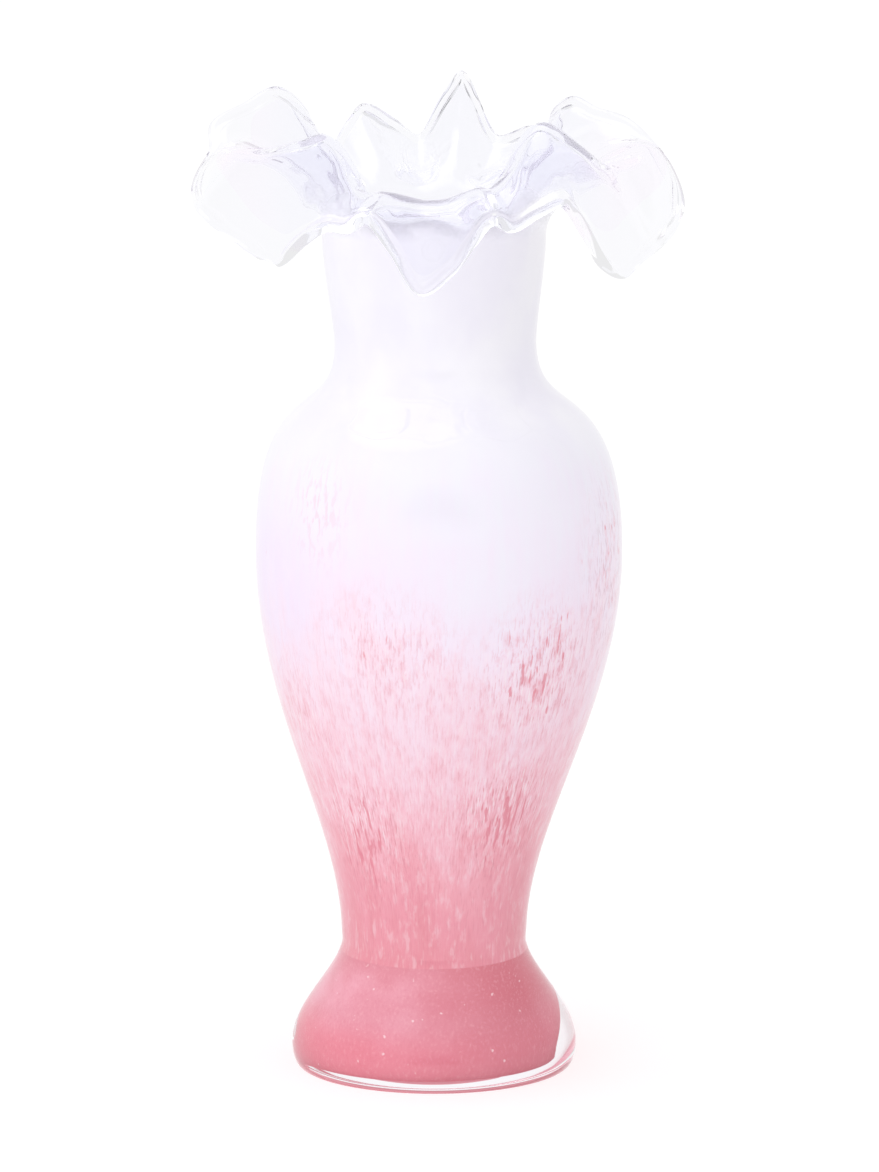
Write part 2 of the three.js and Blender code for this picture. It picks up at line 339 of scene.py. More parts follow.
def round_the_axis(radius, height):
    """Points at each column's azimuth."""
    radius, height = np.broadcast_arrays(radius, height)
    spots = [radius * np.sin(AZIMUTHS), -radius * np.cos(AZIMUTHS), height + 0 * AZIMUTHS]
    return np.stack(spots, axis=-1)


def sway(height):
    """How far the body leans to +X at a height."""
    below = (height - FOOT_HEIGHT) / BELLY_LENGTH
    above = (ROOT_HEIGHT - height) / (ROOT_HEIGHT - BODY_HEIGHT)
    share = np.clip(np.where(height < BODY_HEIGHT, below, above), 0, 1)
    return LEAN * np.sin(share * math.pi / 2) ** 2


def turned(profile):
    """Rows of points: the profile turned round the axis, with the body's lean."""
    rows = round_the_axis(profile[:, :1], profile[:, 1:])
    rows[..., 0] += sway(rows[..., 2])
    return rows


class Ruffle:
    """The middle of the ruffle's sheet: at each column a curve up from the neck, through the crease, to the rim."""

    def __init__(self):
        reach = ROOT_RADIUS - WALL_GLASS / 2
        root = round_the_axis(reach, ROOT_HEIGHT)
        rise = round_the_axis(reach, ROOT_HEIGHT + ROOT_RISE)
        rim = self.station(1, 2, RIM_INSET)
        crease = self.station(3, 4)
        inwards = crease - rise
        outwards = rim - crease
        along = sum(way / np.linalg.norm(way, axis=-1, keepdims=True) for way in (inwards, outwards))
        along *= CREASE_PULL / np.linalg.norm(along, axis=-1, keepdims=True)
        self.halves = [
            (root, rise, crease - along, crease),
            (crease, crease + along, crease + outwards * RIM_RUN, rim),
        ]
        t = np.linspace(0, 2, SECTION_SAMPLES + 1)
        steps = np.linalg.norm(np.diff(self.at_t(t[:, None] + np.zeros(COLUMNS)), axis=0), axis=-1)
        self.run = np.concatenate([np.zeros((1, COLUMNS)), np.cumsum(steps, axis=0)])
        self.t = t
        self.length = self.run[-1]

    def station(self, reach_column, height_column, inset=(0, 0)):
        reach = fold_value(PLACES, reach_column) / 100 * RUFFLE_REACH - inset[0]
        height = fold_value(PLACES, height_column) / 100 * RUFFLE_RISE - inset[1]
        return round_the_axis(ROOT_RADIUS + reach, ROOT_HEIGHT + height)

    def at_t(self, t):
        """Points of the sheet: t is 0 at the root, 1 at the crease and 2 at the rim."""
        t = t[..., None]
        points = []
        for half, s in zip(self.halves, (t, t - 1)):
            a, b, c, d = half
            points.append((1 - s) ** 3 * a + 3 * (1 - s) ** 2 * s * b + 3 * (1 - s) * s**2 * c + s**3 * d)
        return np.where(t < 1, *points)

    def at(self, shares):
        """Points at shares of each section's length."""
        t = np.empty_like(shares)
        for column in range(COLUMNS):
            t[:, column] = np.interp(shares[:, column] * self.length[column], self.run[:, column], self.t)
        return self.at_t(t)

    def frames(self, shares):
        """Points of the sheet and the direction from each to the sheet's upper, inner side."""
        spots = self.at(shares)
        out = self.at(np.minimum(shares + SLOPE_STEP, 1)) - self.at(np.maximum(shares - SLOPE_STEP, 0))
        along = np.roll(spots, -1, axis=1) - np.roll(spots, 1, axis=1)
        inward = np.cross(out, along)
        return spots, inward / np.linalg.norm(inward, axis=-1, keepdims=True)

    def thickness(self, shares):
        """The wall's thickness at the root, the sheet's, and a rounded bead at the rim."""
        to_rim = (1 - shares) * self.length
        sheet = WALL_GLASS + (RUFFLE_THICKNESS - WALL_GLASS) * np.minimum(shares / ROOT_BLEND, 1)
        swell = RIM_BEAD + (sheet - RIM_BEAD) * smooth(to_rim, 0, BEAD_WIDTH)
        bead = RIM_BEAD / 2
        return swell * np.sqrt(np.clip(1 - (np.maximum(bead - to_rim, 0) / bead) ** 2, 0, 1))


def unevenness(spots, wave, depth, seed):
    """Hand-made unevenness: a smooth random height for each point."""
    offset = Vector((seed, 0, 0))
    flat = spots.reshape(-1, 3)
    heights = [noise.noise(Vector(spot) / wave + offset) for spot in flat]
    return depth * np.reshape(heights, spots.shape[:-1])


def piece(name, rows, material, replaces, shares=None):
    """A closed mesh from rows of points round the axis, the first and the last of them on the axis."""
    count = len(rows)
    verts = [rows[0, 0]] + list(rows[1:-1].reshape(-1, 3)) + [rows[-1, 0]]
    column = np.arange(COLUMNS)
    beside = (column + 1) % COLUMNS
    last = (count - 2) * COLUMNS + 1
    top = last - COLUMNS
    faces = [(0, 1 + b, 1 + a) for a, b in zip(column, beside)]
    for row in range(count - 3):
        low = 1 + row * COLUMNS
        high = low + COLUMNS
        faces += zip(low + column, low + beside, high + beside, high + column)
    faces += [(last, top + a, top + b) for a, b in zip(column, beside)]
    mesh = bpy.data.meshes.new(name)
    mesh.from_pydata([tuple(v) for v in verts], [], [tuple(int(i) for i in f) for f in faces])
    mesh.polygons.foreach_set("use_smooth", [True] * len(mesh.polygons))
    if shares is not None:
        attribute = mesh.attributes.new("share", "FLOAT", "POINT")
        values = [shares[0, 0], *shares[1:-1].ravel(), shares[-1, 0]]
        attribute.data.foreach_set("value", np.array(values, np.float32))
    mesh.materials.append(material)
    mesh.update()
    obj = bpy.data.objects.new(name, mesh)
    bpy.context.scene.collection.objects.link(obj)
    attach(obj, "root")
    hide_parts(*replaces)
    return obj


def clear_glass_rows(ruffle):
    """The whole clear gather: foot, casing and ruffle outside, rim, and back down inside the colour."""
    foot = foot_outline(0, 0, 0)
    outside = wall(0)
    for outline in (foot, outside):
        toward_waist = np.abs(outline[:, 1] - FOOT_HEIGHT) / CREASE_WIDTH
        outline[:, 0] -= CREASE_DEPTH * np.exp(-(toward_waist**2))
    below = turned(np.concatenate([disc(0, foot[0, 0]), foot, outside[:-1]]))

    sheet = np.linspace(0, 1, RUFFLE_ROWS + 1)[:, None] * (1 - BEAD_WIDTH / ruffle.length)
    band = np.linspace(BEAD_WIDTH, RIM_BEAD / 2, BEAD_ROWS)[1:, None]
    turn = np.linspace(0, math.pi / 2, BEAD_ROWS + 1)[1:-1, None]
    bead = RIM_BEAD / 2 * (1 - np.sin(turn))
    shares = np.concatenate([sheet, 1 - band / ruffle.length, 1 - bead / ruffle.length])
    spots, inward = ruffle.frames(shares)
    half = ruffle.thickness(shares)[..., None] / 2
    wobble = smooth(shares, 0, WOBBLE_SHARE)[..., None] * half / (RUFFLE_THICKNESS / 2)
    wobbles = [unevenness(spots, WOBBLE_WAVE, WOBBLE_DEPTH, seed)[..., None] * wobble for seed in WOBBLE_SEEDS]
    hidden = (GLASS_DEPTH - WALL_GLASS) * (1 - smooth(shares, 0, HIDDEN_SHARE))[..., None]
    outer = spots - inward * (half + wobbles[0])
    inner = spots + inward * (half + wobbles[1] + hidden)
    rim = ruffle.at(np.ones((1, COLUMNS)))

    inside = wall(GLASS_DEPTH)
    floor = FOOT_HEIGHT - GLASS_FLOOR
    inside = inside[inside[:, 1] > floor + GLASS_WALL_START]
    inside = np.concatenate([[(inside[0, 0], floor)], inside])
    down = turned(np.concatenate([inside[:-1][::-1], disc(floor, inside[0, 0], outwards=False)]))
    return np.concatenate([below, outer, rim, inner[::-1], down])


def shell_rows(outer, inner):
    """A closed shell from the axis under the floor, up its outer face and down its inner face to the axis."""
    low = disc(outer[0, 1], outer[0, 0])
    high = disc(inner[0, 1], inner[0, 0], outwards=False)
    return turned(np.concatenate([low, outer, inner[::-1], high]))


def from_floor(outline, floor):
    """The outline above a floor, with its corner at the floor."""
    kept = outline[outline[:, 1] > floor + WALL_START]
    return np.concatenate([[(kept[0, 0], floor), (kept[0, 0], floor + CORNER)], kept])


def pink_layer_rows():
    """The pink layer, which sinks into the opal at its top."""
    fade = COLOUR_TOP - COLOUR_FADE
    outer = wall(lambda height: COLOUR_DEPTH + (OPAL_DEPTH - COLOUR_DEPTH) * smooth(height, fade, COLOUR_TOP))
    inner = wall(OPAL_DEPTH + LAYER_LAP)
    outer = from_floor(outer[outer[:, 1] < COLOUR_TOP], FOOT_HEIGHT - PINK_FLOOR)
    inner = from_floor(inner[inner[:, 1] < COLOUR_TOP], FOOT_HEIGHT + PINK_FLOOR_INSIDE)
    return shell_rows(outer, inner)


def opal_rows(ruffle):
    """The opal lining and its film on the ruffle's inner side, with each point's share of the sheet.

    The lining's outer face rises through the pink layer's inner face to just under its outer one.
    """
    fade = COLOUR_TOP - COLOUR_FADE
    shallow = COLOUR_DEPTH + LAYER_LAP / 2
    outer = wall(lambda height: OPAL_DEPTH + (shallow - OPAL_DEPTH) * smooth(height, fade - COLOUR_FADE, fade))
    inner = wall(INSIDE_DEPTH)
    outer = from_floor(outer, FOOT_HEIGHT + OPAL_FLOOR)
    inner = from_floor(inner, FOOT_HEIGHT + INSIDE_FLOOR)
    below = turned(np.concatenate([disc(outer[0, 1], outer[0, 0]), outer[:-1]]))
    down = turned(np.concatenate([inner[:-1][::-1], disc(inner[0, 1], inner[0, 0], outwards=False)]))

    flap = smooth(fold_value(PLACES, 1), *FLAP_REACH)
    band = CLEAR_BAND[0] + (CLEAR_BAND[1] - CLEAR_BAND[0]) * flap
    shares = np.linspace(0, 1, RUFFLE_ROWS)[:, None] * (1 - band / ruffle.length)
    spots, inward = ruffle.frames(shares)
    half = ruffle.thickness(shares) / 2
    root = 1 - smooth(shares, 0, ROOT_BLEND)
    low = half - FILM_SUNK + (shallow - WALL_GLASS + FILM_SUNK) * root
    high = half + FILM_PROUD + (INSIDE_DEPTH - WALL_GLASS - FILM_PROUD) * root
    film_out = spots + inward * low[..., None]
    film_in = spots + inward * high[..., None]
    rows = np.concatenate([below, film_out, film_in[::-1], down])
    none_below = np.zeros(below.shape[:-1])
    none_down = np.zeros(down.shape[:-1])
    over = np.minimum(shares * UPPER_HASTE, 1)
    return rows, np.concatenate([none_below, shares, over[::-1], none_down])


def foot_core_rows():
    outline = foot_outline(FOOT_CLEAR_EDGE, FOOT_CLEAR_WAIST, FOOT_CLEAR_BOTTOM)
    outline = np.insert(outline, -1, (outline[-1, 0], FOOT_HEIGHT - CORNER), axis=0)
    top = disc(FOOT_HEIGHT, outline[-1, 0], outwards=False)
    rows = turned(np.concatenate([disc(FOOT_CLEAR_BOTTOM, outline[0, 0]), outline, top]))
    rows[..., 0] -= CORE_OFF_AXIS * (1 - smooth(rows[..., 2], FOOT_EDGE_HEIGHT, FOOT_HEIGHT))
    return rows


def linear(code):
    """An sRGB colour code as linear RGBA."""
    values = [int(code[i : i + 2], 16) / 255 for i in (0, 2, 4)]
    return [v / 12.92 if v < 0.04045 else ((v + 0.055) / 1.055) ** 2.4 for v in values] + [1]


class Graph:
    """A few short ways to add shader nodes to one node tree."""

    def __init__(self, owner):
        owner.use_nodes = True
        self.tree = owner.node_tree
        self.tree.nodes.clear()

    def add(self, kind, inputs=None, **settings):
        node = self.tree.nodes.new("ShaderNode" + kind)
        for key, value in settings.items():
            setattr(node, key, value)
        for key, value in (inputs or {}).items():
            self.set(node.inputs[key], value)
        return node

    def set(self, socket, value):
        if isinstance(value, bpy.types.NodeSocket):
            self.tree.links.new(value, socket)
        else:
            socket.default_value = value

    def math(self, operation, a, b=0.0, clamp=False):
        return self.add("Math", {0: a, 1: b}, operation=operation, use_clamp=clamp).outputs[0]

    def mix(self, share, a, b):
        """A mix of two colours."""
        node = self.add("Mix", data_type="RGBA")
        self.set(node.inputs["Factor"], share)
        self.set(node.inputs[6], a)
        self.set(node.inputs[7], b)
        return node.outputs[2]

    def blend(self, share, a, b):
        """A mix of two numbers."""
        node = self.add("Mix", data_type="FLOAT")
        self.set(node.inputs["Factor"], share)
        self.set(node.inputs[2], a)
        self.set(node.inputs[3], b)
        return node.outputs[0]

    def step(self, value, low, high, to_low=0.0, to_high=1.0):
        """A smooth step of a value between low and high, with its results there."""
        inputs = {"Value": value, "From Min": low, "From Max": high, "To Min": to_low, "To Max": to_high}
        return self.add("MapRange", inputs, interpolation_type="SMOOTHSTEP").outputs[0]

    def noise(self, vector, size, detail=2.0, roughness=0.5):
        """Noise whose features have a size along x, y and z."""
        scaled = self.add("VectorMath", {0: vector, 1: [1 / s for s in size]}, operation="MULTIPLY").outputs[0]
        inputs = {"Vector": scaled, "Scale": 1.0, "Detail": detail, "Roughness": roughness}
        return self.add("TexNoise", inputs).outputs["Fac"]

    def ramp(self, value, stops):
        node = self.add("ValToRGB", {"Fac": value})
        elements = node.color_ramp.elements
        while len(elements) < len(stops):
            elements.new(0.5)
        for element, (place, colour) in zip(elements, stops):
            element.position = place
            element.color = linear(colour)
        return node.outputs["Color"]

    def near(self, vector, centre, size):
        """1 at a place, falling smoothly to 0 at a distance of size along x, y and z."""
        away = self.add("VectorMath", {0: vector, 1: centre}, operation="SUBTRACT").outputs[0]
        scaled = self.add("VectorMath", {0: away, 1: [1 / s for s in size]}, operation="MULTIPLY").outputs[0]
        length = self.add("VectorMath", {0: scaled}, operation="LENGTH").outputs["Value"]
        return self.step(length, 0.0, 1.0, 1.0, 0.0)

    def speckle(self, colour, value, span, amount, other, where=1.0):
        """The colour, mixed with another by an amount as a value runs through a span."""
        share = self.math("MULTIPLY", self.step(value, *span), where)
        other = linear(other) if isinstance(other, str) else other
        return self.mix(self.math("MULTIPLY", share, amount), colour, other)

    def most(self, values):
        """The highest of some numbers."""
        found = values[0]
        for value in values[1:]:
            found = self.math("MAXIMUM", found, value)
        return found

    def matte(self, colour, **glow):
        """A surface without gloss, which it gets from the clear glass over it."""
        look = {"Base Color": colour, "Roughness": MATTE_ROUGHNESS, "Specular IOR Level": 0.0}
        return self.add("BsdfPrincipled", {**look, **glow}).outputs[0]

    def surface(self, shader):
        self.add("OutputMaterial", {"Surface": shader})


MATTE_ROUGHNESS = 0.5
GLASS_TINT = "FCFCFF"
GLASS_IOR = 1.5
MOST_MIRRORINGS = 2  # inside the clear glass, after which light goes straight on


def clear_glass():
    """Clear glass with a faint lavender cast."""
    material = bpy.data.materials.new("clear_glass")
    graph = Graph(material)
    look = {"Base Color": linear(GLASS_TINT), "Roughness": 0.0, "IOR": GLASS_IOR, "Transmission Weight": 1.0}
    glass = graph.add("BsdfPrincipled", look).outputs[0]
    trapped = graph.math("GREATER_THAN", graph.add("LightPath").outputs["Glossy Depth"], MOST_MIRRORINGS)
    straight = graph.add("BsdfTransparent", {"Color": (1, 1, 1, 1)}).outputs[0]
    graph.surface(graph.add("MixShader", {0: trapped, 1: glass, 2: straight}).outputs[0])
    return material


# The pink along the body's height: metres above the floor, and the colour there.
PINK_HEIGHTS = [
    (0.040, "EA93A0"),
    (0.055, "F09DAC"),
    (0.067, "F5A9B7"),
    (0.079, "F9BCCA"),
    (0.091, "FBC6D4"),
    (0.102, "FCD0DE"),
    (0.114, "FCDAE8"),
    (0.128, "FCE3F1"),
    (0.142, "FAE8F7"),
    (0.158, "F8ECFA"),
    (0.178, "F6F0FB"),
    (0.195, "F5F3FB"),
]
TOP_BLEND = (0.182, 0.206)  # heights over which the pink layer takes on the opal's colour
RAMP_LOW = 0.03
RAMP_HIGH = 0.21
STREAK_RADIUS = 0.045  # radius at which the streaks' sizes are given
# Where the darker chips and streaks gather: a place, how far they spread along x, y and z, and how dense they are.
CLUSTERS = [
    ((0.032, -0.042, 0.129), (0.028, 0.030, 0.031), 1.1),
    ((0.052, -0.018, 0.156), (0.018, 0.028, 0.042), 0.9),
    ((0.022, -0.030, 0.080), (0.022, 0.022, 0.026), 1.5),
    ((-0.020, -0.026, 0.074), (0.018, 0.018, 0.028), 1.4),
    ((-0.012, -0.048, 0.136), (0.034, 0.026, 0.026), 0.45),
    ((-0.044, -0.026, 0.112), (0.020, 0.020, 0.030), 0.5),
    ((0.000, 0.046, 0.118), (0.034, 0.030, 0.036), 0.9),
    ((-0.040, 0.024, 0.130), (0.026, 0.026, 0.038), 0.7),
    ((0.028, 0.022, 0.080), (0.024, 0.024, 0.024), 0.8),
]
CLUSTER_HAZE = 0.011  # how much higher up the pink reaches round them
HAZE_HEIGHTS = (0.085, 0.120)  # heights over which that haze sets in
# Where the white reaches down into the pink, where the pink turns lilac, and where a faint patch lies in the white.
WHITE_DIP = ((0.018, -0.054, 0.142), (0.030, 0.030, 0.042))
DIP_DEPTH = 0.018
LILAC_SIDE = ((-0.056, -0.030, 0.150), (0.030, 0.050, 0.046))
FAINT_PATCH = ((-0.036, -0.040, 0.176), (0.018, 0.018, 0.026))


# Noises: the size of their features along x, y and z, their detail and, unless it is 0.5, their roughness.
CLOUDS = ((0.020, 0.020, 0.035), 3)
DRIFT = ((0.034, 0.034, 0.050), 2)
PATCHES = ((0.009, 0.009, 0.016), 3, 0.6)
WISPS = ((0.0022, 0.0022, 0.018), 2)
MOTTLE = ((0.0030, 0.0030, 0.0060), 4, 0.65)
STREAKS = ((0.00055, 0.00055, 0.0036), 2, 0.6)
CHIPS = ((0.0016, 0.0016, 0.0075), 2)
FLECKS = ((0.0011, 0.0011, 0.0042), 2)
FILM_STREAKS = ((0.010, 0.010, 0.010), 3)
ROSE_CLOUDS = ((0.014, 0.014, 0.014), 3)
ROSE_GRAIN = ((0.0007, 0.0007, 0.0010), 2, 0.6)
ROSE_BUBBLES = ((0.0013, 0.0013, 0.0013), 0.0)

# How far up and down these move the pink. The wisps' share grows with the height.
DRIFT_REACH = 0.050
PATCH_REACH = 0.036
WISP_REACH = (0.060, 0.110, 0.006, 0.030)

# Speckles: the span of a noise over which they come in, how strong they get, and their colour.
DARK_MOTTLE = ((0.48, 0.66), 0.52, "EFA0AF")
PALE_MOTTLE = ((0.50, 0.34), 0.25, "FFF0F5")
DARK_STREAK = ((0.52, 0.68), 0.60)
PALE_STREAK = ((0.47, 0.33), 0.60, "FFF4F8")
CHIP = ((0.0, 0.06), 0.70, "E57F90")
FAINT_FLECK = ((0.50, 0.62), 0.45, "F3CCDC")
DARK_ROSE_WAIST = ((0.030, 0.044), 0.5, "DC808C")
PALE_ROSE_GRAIN = ((0.52, 0.72), 0.28, "F8BCC6")
DARK_ROSE_GRAIN = ((0.46, 0.30), 0.22, "DC7886")
ROSE_BUBBLE = ((0.81, 0.86), 0.7, "FFDFE5")

SPECKLE_HEIGHTS = (0.075, 0.165)  # heights over which the pink's own speckles fade out
PINK_SPECKLES = 0.55  # how dense they are in the pink, and what a cluster adds
CLUSTER_SPECKLES = 0.75
PALE_STREAK_HEIGHTS = (0.055, 0.100, 0.20, 1.0)
STREAK_COLOURS = ("DD8796", "BE8B9B")  # at the front and at the right side
STREAK_SIDES = (0.036, 0.052)
CHIP_EDGE = 0.78  # where the chips' noise begins to show, and how much sooner it does in a cluster
CHIP_CLUSTERS = 0.20
LILAC = "F3E2F9"
LILAC_CLOUDS = (0.30, 0.60, 0.35, 0.9)
OPAL_COLOURS = ("F8F6FB", "F3F0F9")
OPAL_CLOUDS = (0.35, 0.65)


def opal_colour(graph, place):
    """White with faint lavender clouds."""
    return graph.mix(graph.step(graph.noise(place, *CLOUDS), *OPAL_CLOUDS), *map(linear, OPAL_COLOURS))


def up_the_wall(graph, place):
    """Coordinates in which streaks that run straight up follow the wall where it narrows."""
    flat = graph.add("VectorMath", {0: place, 1: (1, 1, 0)}, operation="MULTIPLY").outputs[0]
    round_way = graph.add("VectorMath", {0: flat}, operation="NORMALIZE").outputs[0]
    ring = graph.add("VectorMath", {0: round_way, "Scale": STREAK_RADIUS}, operation="SCALE").outputs[0]
    upright = graph.add("VectorMath", {0: place, 1: (0, 0, 1)}, operation="MULTIPLY").outputs[0]
    return graph.add("VectorMath", {0: ring, 1: upright}, operation="ADD").outputs[0]


def shifted(graph, value, noise_value, amount):
    """A value moved up and down by a noise."""
    return graph.math("ADD", value, graph.math("MULTIPLY", graph.math("SUBTRACT", noise_value, 0.5), amount))


def layer_colour(graph, place):
    """Opal white that turns pink towards the waist, with streaks and chips drawn out along the height."""
    wall_place = up_the_wall(graph, place)
    axes = graph.add("SeparateXYZ", {0: place}).outputs
    height, side = axes["Z"], axes["X"]
    near = [graph.math("MULTIPLY", graph.near(place, centre, size), dense) for centre, size, dense in CLUSTERS]
    cluster = graph.most(near)

    patches = graph.noise(wall_place, *PATCHES)
    moved = shifted(graph, height, graph.noise(wall_place, *DRIFT), DRIFT_REACH)
    moved = shifted(graph, moved, patches, PATCH_REACH)
    moved = shifted(graph, moved, graph.noise(wall_place, *WISPS), graph.step(height, *WISP_REACH))
    moved = graph.math("ADD", moved, graph.math("MULTIPLY", graph.near(place, *WHITE_DIP), DIP_DEPTH))
    haze = graph.math("MULTIPLY", cluster, graph.step(height, *HAZE_HEIGHTS, 0.0, CLUSTER_HAZE))
    moved = graph.math("SUBTRACT", moved, haze)
    share = graph.math("DIVIDE", graph.math("SUBTRACT", moved, RAMP_LOW), RAMP_HIGH - RAMP_LOW)
    stops = [((h - RAMP_LOW) / (RAMP_HIGH - RAMP_LOW), colour) for h, colour in PINK_HEIGHTS]
    colour = graph.ramp(share, stops)

    pinkness = graph.step(moved, *SPECKLE_HEIGHTS, 1.0, 0.0)
    own = graph.math("MULTIPLY", pinkness, PINK_SPECKLES)
    strength = graph.math("ADD", own, graph.math("MULTIPLY", cluster, CLUSTER_SPECKLES), True)
    mottle = graph.noise(wall_place, *MOTTLE)
    colour = graph.speckle(colour, mottle, *DARK_MOTTLE, strength)
    colour = graph.speckle(colour, mottle, *PALE_MOTTLE, pinkness)

    streaks = graph.noise(wall_place, *STREAKS)
    dark = graph.mix(graph.step(side, *STREAK_SIDES), *map(linear, STREAK_COLOURS))
    colour = graph.speckle(colour, streaks, *DARK_STREAK, dark, strength)
    above = graph.step(height, *PALE_STREAK_HEIGHTS)
    colour = graph.speckle(colour, streaks, *PALE_STREAK, graph.math("MULTIPLY", strength, above))

    edge = graph.math("SUBTRACT", CHIP_EDGE, graph.math("MULTIPLY", cluster, CHIP_CLUSTERS))
    chips = graph.math("SUBTRACT", graph.noise(wall_place, *CHIPS), edge)
    colour = graph.speckle(colour, chips, *CHIP)
    colour = graph.speckle(colour, graph.noise(wall_place, *FLECKS), *FAINT_FLECK, graph.near(place, *FAINT_PATCH))
    lilac = graph.math("MULTIPLY", graph.near(place, *LILAC_SIDE), graph.step(patches, *LILAC_CLOUDS))
    colour = graph.mix(lilac, colour, linear(LILAC))
    return graph.mix(graph.step(height, *TOP_BLEND), colour, opal_colour(graph, place))


def pink_glass():
    material = bpy.data.materials.new("pink_glass")
    graph = Graph(material)
    place = graph.add("TexCoord").outputs["Object"]
    graph.surface(graph.matte(layer_colour(graph, place)))
    return material


# The opal out on the ruffle, over shares of the sheet from its root to its rim.
FILM_START = (0.0, 0.06)  # where the solid opal turns into the film
FILM_THINNING = (0.03, 0.26, 1.0, 0.015)  # how solid the film is
FILM_PALING = (0.05, 0.40)  # where the opal's own colour turns into the film's
FILM_GLOW = (0.0, 0.15, 0.0, 0.5)  # how much of its light comes through from behind
FILM_UNEVENNESS = (0.30, 0.70, 0.6, 1.2)
FILM_COLOUR = "FDFBFF"
FILM_TINTS = ("FEFEFF", "FFFEFF")  # what is seen through it, in the small folds and out on the flaps
FILM_TINT_SIDES = (0.040, 0.056)
MOST_CROSSINGS = 6  # of the film, after which it is drawn as solid


def opal_glass():
    """Opal white: solid up to the ruffle's root, and thinning out over the ruffle to a haze at its edge.

    The film's faces are drawn from outside only, so that a look through it meets one face and not two.
    """
    material = bpy.data.materials.new("opal_glass")
    graph = Graph(material)
    place = graph.add("TexCoord").outputs["Object"]
    share = graph.add("Attribute", attribute_name="share").outputs["Fac"]
    uneven = graph.step(graph.noise(place, *FILM_STREAKS), *FILM_UNEVENNESS)
    thin = graph.math("MULTIPLY", graph.step(share, *FILM_THINNING), uneven, True)
    solid = graph.blend(graph.step(share, *FILM_START), 1.0, thin)
    solid = graph.blend(graph.add("NewGeometry").outputs["Backfacing"], solid, 0.0)
    path = graph.add("LightPath").outputs
    deep = graph.math("GREATER_THAN", path["Transparent Depth"], MOST_CROSSINGS)
    solid = graph.most([solid, graph.blend(path["Is Shadow Ray"], deep, 0.0)])

    colour = graph.mix(graph.step(share, *FILM_PALING), opal_colour(graph, place), linear(FILM_COLOUR))
    behind = graph.add("BsdfTranslucent", {"Color": colour}).outputs[0]
    through = graph.step(share, *FILM_GLOW)
    opal = graph.add("MixShader", {0: through, 1: graph.matte(colour), 2: behind}).outputs[0]
    outwards = graph.math("ABSOLUTE", graph.add("SeparateXYZ", {0: place}).outputs["X"])
    tint = graph.mix(graph.step(outwards, *FILM_TINT_SIDES), *map(linear, FILM_TINTS))
    bare = graph.add("BsdfTransparent", {"Color": tint}).outputs[0]
    graph.surface(graph.add("MixShader", {0: solid, 1: bare, 2: opal}).outputs[0])
    return material


# The foot's rose: clouds of two colours, with a brighter one low down and a darker one to the right.
ROSE_COLOURS = ("F1A8B8", "EA99A9")
ROSE_CLOUD_SPAN = (0.35, 0.68)
ROSE_SIDES = (-0.025, 0.030)
LOW_ROSE = "ED8696"
LOW_ROSE_HEIGHTS = (0.018, 0.007)
LOW_ROSE_SHARES = (0.85, 0.45)  # at the left and at the right
RIGHT_ROSE = "D97482"
RIGHT_ROSE_HEIGHTS = (0.004, 0.026, 0.45, 1.0)
WAIST_RAGGED = 0.012  # how far the clouds move the edge of the darker waist
# The rose ends in a sharp edge at this height, and the layer's paler pink begins.
ROSE_TOP = 0.0344
ROSE_EDGE = 0.0005
# Painted light: a glow on the core's underside that stands in for the light coming through the clear edge, which no
# ray of the render finds.
UNDERSIDE_LIGHT_COLOUR = "E6BCC6"
UNDERSIDE_GLOW = 0.35
UNDERSIDE_FACING = (-0.93, -0.995)  # how far down a face looks, along Z, where that light starts and is full


def deep_pink_glass():
    """Rose glass with soft clouds, fine grain and pinpoint bubbles, the layer's pink at its top, and a painted glow
    of light on its underside.
    """
    material = bpy.data.materials.new("deep_pink_glass")
    graph = Graph(material)
    place = graph.add("TexCoord").outputs["Object"]
    axes = graph.add("SeparateXYZ", {0: place}).outputs
    height, side = axes["Z"], axes["X"]
    cloud = graph.noise(place, *ROSE_CLOUDS)
    grain = graph.noise(place, *ROSE_GRAIN)
    right = graph.step(side, *ROSE_SIDES)
    colour = graph.mix(graph.step(cloud, *ROSE_CLOUD_SPAN), *map(linear, ROSE_COLOURS))
    low = graph.math("MULTIPLY", graph.step(height, *LOW_ROSE_HEIGHTS), graph.blend(right, *LOW_ROSE_SHARES))
    colour = graph.mix(low, colour, linear(LOW_ROSE))
    darker = graph.math("MULTIPLY", right, graph.step(height, *RIGHT_ROSE_HEIGHTS))
    colour = graph.mix(darker, colour, linear(RIGHT_ROSE))
    ragged = graph.math("ADD", height, graph.math("MULTIPLY", cloud, WAIST_RAGGED))
    colour = graph.speckle(colour, ragged, *DARK_ROSE_WAIST)
    colour = graph.speckle(colour, grain, *PALE_ROSE_GRAIN)
    colour = graph.speckle(colour, grain, *DARK_ROSE_GRAIN)
    colour = graph.speckle(colour, graph.noise(place, *ROSE_BUBBLES), *ROSE_BUBBLE)
    above = graph.step(height, ROSE_TOP, ROSE_TOP + ROSE_EDGE)
    colour = graph.mix(above, colour, layer_colour(graph, place))

    # Painted light: faces that look down glow with the underside's light colour.
    facing = graph.add("SeparateXYZ", {0: graph.add("NewGeometry").outputs["Normal"]}).outputs["Z"]
    glow = graph.mix(graph.step(facing, *UNDERSIDE_FACING), (0, 0, 0, 1), linear(UNDERSIDE_LIGHT_COLOUR))
    graph.surface(graph.matte(colour, **{"Emission Color": glow, "Emission Strength": UNDERSIDE_GLOW}))
    return material


def make_vase():
    ruffle = Ruffle()
    glass = clear_glass()
    replaced = ["clear_foot", "clear_casing", "ruffled_rim"]
    gather = piece("clear_glass_gather", clear_glass_rows(ruffle), glass, replaced)
    # In the folds, shadow and diffuse rays would run out of steps through the glass and draw dark lines.
    gather.visible_shadow = gather.visible_diffuse = False
    piece("pink_core", foot_core_rows(), deep_pink_glass(), ["foot_core"])
    piece("pink_layer", pink_layer_rows(), pink_glass(), ["pink_colour_layer"])
    rows, shares = opal_rows(ruffle)
    piece("opal_bubble", rows, opal_glass(), ["opal_lining", "opal_flare"], shares)


